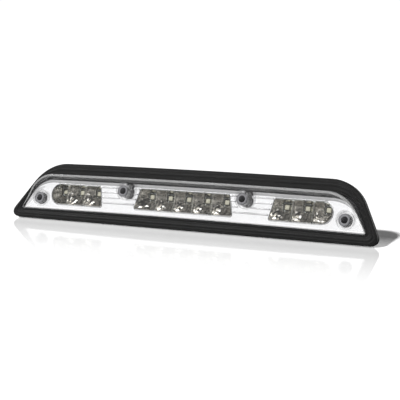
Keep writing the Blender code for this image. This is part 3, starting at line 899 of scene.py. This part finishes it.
def make_bushes(finishes):
    """Flanged sleeves, turned about each screw's axis with rounded flange edges. The flange, the
    outside of the tube and the bore each have their own finish: the tube's is pale, painted light
    on its shaded side, and the bore's is dark, painted shade in the hole."""
    for name, x, level, _, seat in boss_places():
        front = seat - CLEARANCE
        profile = [
            (BUSH_BORE + 0.3, front - 0.9),
            (BUSH_FLANGE - 0.25, front - 0.9),
            (BUSH_FLANGE, front - 0.7),
            (BUSH_FLANGE, front - 0.15),
            (BUSH_FLANGE - 0.15, front),
            (BUSH_RADIUS, front),
            (BUSH_RADIUS, HOUSING_BACK),
            (BUSH_BORE, HOUSING_BACK),
            (BUSH_BORE, front - 0.55),
        ]
        shell = Shell()
        rings = [shell.add(*circle(x, level, radius), depth) for radius, depth in profile]
        shell.sweep(rings[:6])
        shell.slot = 1
        shell.strip(rings[5], rings[6])
        shell.slot = 2
        shell.sweep(rings[6:])
        shell.strip(rings[-1], rings[0])
        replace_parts(shell.object(f"sleeve_{name}", finishes), f"bush_{name}")


def finish_nodes():
    """Gives every CAD node that stays in view its own node material."""
    black = black_plastic()
    board = white_board()
    chip = plain_finish("chip_plastic", (0.02, 0.02, 0.02), (0.05, 0.05, 0.05), 0.4)
    ceramic = plain_finish("resistor_ceramic", (0.05, 0.05, 0.055), (0.13, 0.13, 0.14), 0.3)
    steel = metal("zinc_screw", (0.42, 0.42, 0.43), (0.68, 0.68, 0.7), 0.32)
    brass = metal("tinned_brass", (0.6, 0.54, 0.38), (0.82, 0.76, 0.6), 0.28)
    wire = plain_finish("red_wire", (0.34, 0.02, 0.012), (0.5, 0.05, 0.03), 0.36)
    finishes = {
        "rear_housing": black,
        "connector_socket": black,
        "breather_cap": black,
        "lens_seal": sealant(),
        "brake_board": board,
        "cargo_board_left": board,
        "cargo_board_right": board,
        "brake_driver": chip,
        "polarity_diode": chip,
        "ballast_resistor_left": ceramic,
        "ballast_resistor_right": ceramic,
        "jumper_lead_left": wire,
        "jumper_lead_right": wire,
        "supply_lead": wire,
    }
    finishes.update({f"terminal_pin_{number}": brass for number in (1, 2, 3)})
    finishes.update({name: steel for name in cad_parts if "board_screw" in name})
    for name, finish in finishes.items():
        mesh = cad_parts[name].data
        mesh.materials.clear()
        mesh.materials.append(finish)


# Floor, in metres: gap under the lamp and half width.
FLOOR_GAP = 0.0002
FLOOR_REACH = 4.0

# Studio: way from the lamp to the middle of the white panel that fills the flat chrome, strength
# of the fill and of the backdrop, and the key light's way, strength and width.
PANEL_WAY = (-0.505, -0.774, 0.383)
FILL_LIGHT = 0.18
BACKDROP = 1.05
SUN_WAY = (0.22, 1.0, -0.7)
SUN_STRENGTH = 6.8
SUN_WIDTH = math.radians(5)


def floor_finish():
    """Pale table: matt white, with a gloss that fades out ahead of the lamp; in mirrors it is
    greyer, painted shade.
    """
    f = new_finish("pale_floor")
    cloud = f.noise(3.0, 2.0)
    # Painted shade: in glossy rays the table's colour falls to dark grey, standing in for the shade
    # near the lamp that the chrome mirrors.
    mirrored = Value(f, f.node("ShaderNodeLightPath").outputs["Is Glossy Ray"])
    shade = f.mixed(mirrored * 0.75 + 0.05 * cloud, (0.88, 0.88, 0.88), (0.2, 0.2, 0.2))
    where = f.node("ShaderNodeTexCoord").outputs["Object"]
    along = Value(f, f.node("ShaderNodeSeparateXYZ", None, {0: where}).outputs["Y"])
    ahead = (0.4 - 12.0 * along).clamp(0.0, 1.0)
    gloss = 0.62 * (1.0 + 2.2 * along).clamp(0.0, 1.0) ** 3.0 * ahead + 0.02 * cloud
    matt = f.node("ShaderNodeBsdfDiffuse", None, {"Color": shade})
    mirror = f.node("ShaderNodeBsdfGlossy", None, {"Roughness": 0.05})
    inputs = {0: gloss, 1: matt.outputs[0], 2: mirror.outputs[0]}
    return f.output(f.node("ShaderNodeMixShader", None, inputs).outputs[0])


def make_floor():
    """A large flat square just under the lamp's lowest point."""
    low, reach = cad_box[0].z - FLOOR_GAP, FLOOR_REACH
    corners = [
        (-reach, -reach, low),
        (reach, -reach, low),
        (reach, reach, low),
        (-reach, reach, low),
    ]
    mesh = bpy.data.meshes.new("floor")
    mesh.from_pydata(corners, [], [(0, 1, 2, 3)])
    mesh.materials.append(floor_finish())
    floor = bpy.data.objects.new("floor", mesh)
    bpy.context.collection.objects.link(floor)


def make_world():
    """Studio: a plain white backdrop, a soft even fill, and for mirrors a dark room with a white
    panel to the front left, a bright strip overhead and a pale wall behind the lamp."""
    world = bpy.data.worlds.new("studio")
    bpy.context.scene.world = world
    f = Finish(world)
    way = f.node("ShaderNodeTexCoord").outputs["Generated"]
    axes = f.node("ShaderNodeSeparateXYZ", None, {0: way}).outputs
    x, y, z = (Value(f, axis) for axis in axes)
    near = PANEL_WAY[0] * x + PANEL_WAY[1] * y + PANEL_WAY[2] * z
    panel = (10.0 * near - 8.2).clamp(0.0, 1.0)
    strip = (1.0 - 7.0 * abs(y + 0.1)).clamp(0.0, 1.0) * (4.0 * z - 1.6).clamp(0.0, 1.0)
    behind = (3.0 * y - 0.6).clamp(0.0, 1.0) * (1.8 - 4.0 * z).clamp(0.0, 1.0)
    room = 0.06 + 1.25 * panel + 6.0 * strip + 1.35 * behind
    path = f.node("ShaderNodeLightPath").outputs
    seen, mirrored = Value(f, path["Is Camera Ray"]), Value(f, path["Is Glossy Ray"])
    strength = FILL_LIGHT + seen * (BACKDROP - FILL_LIGHT) + mirrored * (room - FILL_LIGHT)
    white = (1.0, 1.0, 1.0, 1.0)
    sky = f.node("ShaderNodeBackground", None, {"Color": white, "Strength": strength})
    f.output(sky.outputs[0], "ShaderNodeOutputWorld")


def make_sun():
    """A nearly frontal key light, left out of mirrors so that only its shading shows."""
    data = bpy.data.lights.new("sun", "SUN")
    data.energy = SUN_STRENGTH
    data.angle = SUN_WIDTH
    sun = bpy.data.objects.new("sun", data)
    bpy.context.collection.objects.link(sun)
    sun.rotation_euler = Vector(SUN_WAY).to_track_quat("-Z", "Y").to_euler()
    sun.visible_glossy = False


# Camera: long lens, to the lamp's right and a little above it.
CAMERA_AZIMUTH = math.radians(30.6)
CAMERA_ELEVATION = math.radians(6.8)
CAMERA_DISTANCE = 1.0265
CAMERA_LENS = 108.0
AIM_X, AIM_LIFT = 17.9, 7.3


def make_camera():
    """Looks level-headed at a point just right of the middle of the openings' plane."""
    target = Vector(place(AIM_X, 0.0, 0.0).tolist()) + Vector((0, 0, AIM_LIFT * MM))
    back = Vector(
        (
            math.sin(CAMERA_AZIMUTH) * math.cos(CAMERA_ELEVATION),
            -math.cos(CAMERA_AZIMUTH) * math.cos(CAMERA_ELEVATION),
            math.sin(CAMERA_ELEVATION),
        )
    )
    data = bpy.data.cameras.new("camera")
    data.lens = CAMERA_LENS
    data.sensor_width = 36.0
    camera = bpy.data.objects.new("camera", data)
    bpy.context.collection.objects.link(camera)
    camera.location = target + back * CAMERA_DISTANCE
    camera.rotation_euler = (-back).to_track_quat("-Z", "Y").to_euler()
    bpy.context.scene.camera = camera


def main():
    bpy.context.scene.view_settings.view_transform = "Standard"
    make_camera()
    bright = chrome("bright_chrome", (0.93, 0.93, 0.94), 0.05, 0.00002)
    # Painted shade: the cups get a darker, olive-tinted copy of the bright chrome, so the bowls
    # read dark.
    cup_painted_shade = chrome("cup_chrome_painted_shade", (0.64, 0.625, 0.59), 0.04, 0.00004)
    clear = clear_plastic("clear_plastic", 0.97, 0.045, 0.0)
    boss = clear_plastic("boss_plastic", 0.91, 0.1, 0.03)
    edge = clear_plastic("edge_plastic", 0.85, 0.06, 0.14)
    make_lens(clear, boss, edge)
    make_surround(black_rubber())
    make_panel(bright)
    make_ribs(bright)
    make_cups(cup_painted_shade)
    make_leds(led_frame(), phosphor())
    sleeve = metal("zinc_sleeve", (0.1, 0.1, 0.105), (0.2, 0.2, 0.21), 0.3, 0.6)
    # Painted light: the tube's outside is a pale, non-metallic copy of the zinc, lighter than the
    # light falling on it would make it.
    tube = metal("zinc_tube_painted_light", (0.74, 0.74, 0.75), (0.9, 0.9, 0.91), 0.4, 0.0)
    # Painted shade: the bore and the back end are a dark copy of the zinc.
    bore = metal("zinc_bore_painted_shade", (0.18, 0.18, 0.185), (0.28, 0.28, 0.29), 0.4, 0.0)
    make_bushes([sleeve, tube, bore])
    finish_nodes()
    make_floor()
    make_world()
    make_sun()


main()
